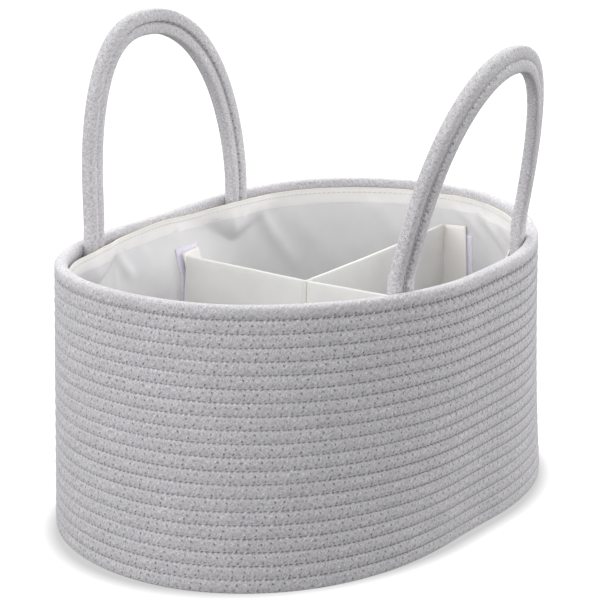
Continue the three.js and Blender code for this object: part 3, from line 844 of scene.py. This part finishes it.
# floor of the lining: a flat oval of the same cloth
floorCloth = {"rings": 26, "around": 240, "inset": 5 * mm, "sink": 0.4 * mm, "slack": 0.9 * mm, "waves": 22}
floorPlan = ovalPlan(floorCloth["around"], -lining["inset"] - floorCloth["inset"])
rings = []
for share in np.linspace(1, 0, floorCloth["rings"]):
    plan = floorPlan * share
    slack = [abs(noise.noise(Vector((x, y, 0.5)))) for x, y in plan * floorCloth["waves"]]
    z = floorTop - floorCloth["sink"] + floorCloth["slack"] * np.array(slack)
    rings.append(np.column_stack([plan, z]))
liningFloor = newPiece("lining_floor_cloth", stand(np.vstack(rings)),
                       gridFaces(floorCloth["around"], floorCloth["rings"]), liningCloth)
onlySelect(liningFloor)
bpy.ops.object.mode_set(mode="EDIT")
bpy.ops.mesh.select_all(action="SELECT")
bpy.ops.mesh.remove_doubles(threshold=0.01 * mm)
bpy.ops.mesh.normals_make_consistent(inside=False)
bpy.ops.object.mode_set(mode="OBJECT")
thicken(liningFloor, lining["thick"], 0)
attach(liningFloor, "basket")
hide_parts("lining_floor")
print("lining floor made")

# divider: three stiff panels in cloth sleeves, meeting at an upright seam
divider = {
    "thin": 0.6 * mm,  # the cloth lies closer to the board than the solid sleeve's outside
    "soft": 0.3 * mm,
    "cell": 4.5 * mm,
    "edge": 0.9 * mm,
    "gap": 1.6 * mm,  # from the middle of the seam to the side panels
    "wrinkle": 0.3 * mm,
    "waves": (40, 40, 26),
    "seam": (-4.2 * mm, -7.5 * mm),  # where the soft basket lets the seam stand, from its drawn place
    "side": {"end": 8 * mm, "back": 11 * mm, "front": 0.0},  # how far aside a panel's far edge stands
    "bow": {"end": 2.2, "back": 1, "front": 1},
    "reach": {"end": 1.03, "back": 0.932, "front": 0.945},  # of their drawn lengths
}
seamLow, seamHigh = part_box("divider_seam")
seamX = (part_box("back_panel_sleeve")[0].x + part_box("back_panel_sleeve")[1].x) / 2
seamY = (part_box("end_panel_sleeve")[0].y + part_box("end_panel_sleeve")[1].y) / 2


def settle(points, arm):
    # where a panel stands in the soft basket
    p = np.array(points, float)
    run, across = (0, 1) if arm == "end" else (1, 0)
    middle = (seamX, seamY)
    out = p[:, run] - middle[run]
    span = np.abs(out) / np.abs(out).max()
    p[:, run] = middle[run] + out * divider["reach"][arm]
    p[:, across] += divider["side"][arm] * span ** divider["bow"][arm]
    p[:, :2] += np.array(divider["seam"])
    return stand(p)


def softBox(name, low, high, material, edge, cell=5 * mm, puff=0.0):
    # a thin box at its size and place: a grid, thickened, its edges rounded, its broad faces slightly full
    low, high = Vector(low), Vector(high)
    size = high - low
    thin = min(range(3), key=lambda k: size[k])
    turn = ((0, math.pi / 2, 0), (math.pi / 2, 0, 0), (0, 0, 0))[thin]
    wide, tall = ((size.z, size.y), (size.x, size.z), (size.x, size.y))[thin]
    bpy.ops.object.select_all(action="DESELECT")
    bpy.ops.mesh.primitive_grid_add(x_subdivisions=max(2, round(wide / cell)), size=1, rotation=turn,
                                    y_subdivisions=max(2, round(tall / cell)), location=(low + high) / 2)
    piece = bpy.context.active_object
    piece.name = piece.data.name = name
    piece.scale = (wide, tall, 1)
    bpy.ops.object.transform_apply(location=True, rotation=True, scale=True)
    solid = piece.modifiers.new("thick", "SOLIDIFY")
    solid.thickness = size[thin]
    solid.offset = 0
    bevel = piece.modifiers.new("edge", "BEVEL")
    bevel.width = edge
    bevel.segments = 3
    bevel.limit_method = "ANGLE"
    applyModifiers(piece)
    points = readPoints(piece)
    across = (points - np.array((low + high) / 2)) / (np.array(size) / 2)
    full = np.ones(len(points))
    for k in range(3):
        if k != thin:
            full = full * np.clip(1 - np.abs(across[:, k]) ** 4, 0, 1)
    points[:, thin] += np.sign(across[:, thin]) * puff * full
    writePoints(piece, points)
    piece.data.materials.append(material)
    bpy.ops.object.shade_smooth_by_angle(angle=math.radians(50))
    return piece


panelBodies = {"end": "divider", "back": "back_wing", "front": "front_wing"}
for arm, body in panelBodies.items():
    low, high = (Vector(corner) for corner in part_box(f"{arm}_panel_sleeve"))
    if arm == "back":
        low.y = seamY + divider["gap"]
    elif arm == "front":
        high.y = seamY - divider["gap"]
    across = 1 if arm == "end" else 0
    low[across] += divider["thin"]
    high[across] -= divider["thin"]
    sleeve = softBox(f"{arm}_panel_cloth", low, high, panelCloth, divider["edge"], divider["cell"],
                     divider["soft"])
    points = readPoints(sleeve)
    wrinkles = np.array([noise.noise(Vector(p)) for p in points * divider["waves"]])
    points[:, across] += wrinkles * divider["wrinkle"]
    writePoints(sleeve, settle(points, arm))
    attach(sleeve, body)
    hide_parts(f"{arm}_panel_sleeve", f"{arm}_panel_board")
print("divider panels made")

# seam: the strip of cloth that the three panels hang on
strip = softBox("divider_seam_strip", (seamX - 1.5 * mm, seamY - 1.5 * mm, seamLow.z),
                (seamX + 1.0 * mm, seamY + 1.5 * mm, seamHigh.z), stripCloth, 0.6 * mm)
stem = softBox("divider_seam_stem", (seamX + 0.6 * mm, seamY - 1.1 * mm, seamLow.z),
               (seamHigh.x + 1 * mm, seamY + 1.1 * mm, seamHigh.z - 0.2 * mm), stripCloth, 0.7 * mm)
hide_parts("divider_seam")
for piece in (strip, stem):
    writePoints(piece, stand(readPoints(piece) + np.array((*divider["seam"], 0))))
    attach(piece, "divider")

# tapes and tabs: strips that follow the lining, each lifted off it by what lies between
layers = {"tape": 0.7 * mm, "tab": 0.9 * mm, "apart": 0.9, "margin": 1.5}  # mm of tab beside its hook tape
tapes = {  # mm round from the right end; lifts at the first and the last; the tape's top; the tab's rise
    "back": {"tape": (217, 245), "tab": (219.5, 241.5), "lift": (2.7, 5.4), "top": 146, "tilt": 0.0},
    "front": {"tape": (-264, -231), "tab": (-254, -233), "lift": (2.7, 2.7), "top": 139, "tilt": 0.0},
    "end": {"tape": (-27, 12), "tab": (-21, 6), "lift": (2.7, 3.2), "top": 138, "tilt": 2.0},
}


def stripOnLining(name, span, low, high, lifts, thick, material, tilt=0.0):
    columns = np.arange(round(span[0] * mm / clothStep), round(span[1] * mm / clothStep) + 1)
    levels = np.nonzero((heights > low) & (heights < high))[0]
    block = np.ix_(levels, columns % lining["around"])
    lift = np.linspace(lifts[0], lifts[1], len(columns)) * mm
    points = clothGrid[block] + clothIn[block] * lift[None, :, None]
    points[:, :, 2] += np.linspace(tilt, 0, len(columns)) * mm
    piece = newPiece(name, points.reshape(-1, 3), gridFaces(len(columns), len(levels), False), material)
    thicken(piece, thick, 0)
    return piece


for arm, tape in tapes.items():
    lift = np.array(tape["lift"])
    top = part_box(f"{arm}_tab")[1].z
    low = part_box(f"{arm}_loop_tape")[0].z
    hookSpan = (tape["tab"][0] + layers["margin"], tape["tab"][1] - layers["margin"])
    made = {
        "loop_tape": stripOnLining(f"{arm}_loop_tape_strip", tape["tape"], low, tape["top"] * mm,
                                   (layers["apart"], layers["apart"]), layers["tape"], loopNap),
        "hook_tape": stripOnLining(f"{arm}_hook_tape_strip", hookSpan, low, top - 6 * mm,
                                   lift - layers["apart"], layers["tape"], hookNap),
        "tab": stripOnLining(f"{arm}_tab_strip", tape["tab"], seamLow.z, top, lift, layers["tab"], tabClothWithPaintedLight,
                             tape["tilt"]),
    }
    for kind, piece in made.items():
        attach(piece, "basket" if kind == "loop_tape" else f"{arm}_flap")
        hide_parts(f"{arm}_{kind}")
print("tabs and tapes made")

# camera: where the photograph was taken from
camera = {
    "azimuth": -57.59,
    "elevation": 14.89,
    "distance": 1.5817,
    "target": (-5.9 * mm, 3.3 * mm, 127.8 * mm),
    "roll": 1.04,
    "lens": 151.23,
}
azimuth, elevation = math.radians(camera["azimuth"]), math.radians(camera["elevation"])
back = Vector((math.sin(azimuth) * math.cos(elevation), -math.cos(azimuth) * math.cos(elevation),
               math.sin(elevation)))
bpy.ops.object.camera_add(location=Vector(camera["target"]) + back * camera["distance"])
view = bpy.context.active_object
view.data.lens = camera["lens"]
view.data.sensor_width = 36
view.rotation_euler = back.to_track_quat("Z", "Y").to_euler()
view.rotation_euler.rotate_axis("Z", math.radians(camera["roll"]))
bpy.context.scene.camera = view

# floor, grey to the lamps, so that it throws little light back up the wall, and white to the camera by a
# glow dimmed close round the basket, a painted shadow over the real one; then the world and the soft lamps
studio = {"paper": "#5E5E5E", "near": halfWide + 5 * mm, "clear": halfWide + 16 * mm, "glowInPaintedShadow": 0.5}
bpy.ops.mesh.primitive_plane_add(size=6, location=(0, 0, 0))
ground = bpy.context.active_object
ground.name = "studio_floor"
floorPaint, tree, shader = newMaterial(
    "matt_paper_floor", {"Roughness": 0.9, "Base Color": hexColour(studio["paper"])})
straight = coil["flatness"] * (halfLong - halfWide)
away = addNode(tree, "ShaderNodeTexCoord").outputs["Object"]
for operation, value in (("ABSOLUTE", (0, 0, 0)), ("SUBTRACT", (straight, 0, 0)), ("MAXIMUM", (0, 0, 0)),
                         ("MULTIPLY", (halfWide / (halfLong - straight), 1, 1))):
    away = addNode(tree, "ShaderNodeVectorMath", {"operation": operation, 1: value}, {0: away}).outputs[0]
away = addNode(tree, "ShaderNodeVectorMath", {"operation": "LENGTH"}, {0: away}).outputs["Value"]
# painted shadow: the glow weaker the nearer the basket's outline
paintedShadowGlow = ranged(tree, away, studio["near"], studio["clear"], studio["glowInPaintedShadow"])
rays = addNode(tree, "ShaderNodeLightPath")
seen = compute(tree, "MULTIPLY", rays.outputs["Is Camera Ray"], paintedShadowGlow)
tree.links.new(seen, shader.inputs["Emission Strength"])
shader.inputs["Emission Color"].default_value = (1, 1, 1, 1)
ground.data.materials.append(floorPaint)

world = bpy.data.worlds.new("white_studio")
bpy.context.scene.world = world
world.use_nodes = True
sky = world.node_tree.nodes["Background"]
sky.inputs["Color"].default_value = (1, 1, 1, 1)
sky.inputs["Strength"].default_value = 1

lamps = {
    "left": {"place": (-1.4, 0.6, 0.7), "size": 1.2, "power": 8},
    "right": {"place": (1.3, -0.75, 0.45), "size": 1.2, "power": 11},
    "back": {"place": (0.9, 1.0, 0.9), "size": 1.2, "power": 15},
}
for name, lamp in lamps.items():
    bpy.ops.object.light_add(type="AREA", location=lamp["place"])
    light = bpy.context.active_object
    light.name = name + "_softbox"
    light.data.size = lamp["size"]
    light.data.energy = lamp["power"]
    light.rotation_euler = (Vector(lamp["place"]) - Vector((0, 0, 0.1))).to_track_quat("Z", "Y").to_euler()

bpy.context.scene.view_settings.view_transform = "Standard"
print("stage set")
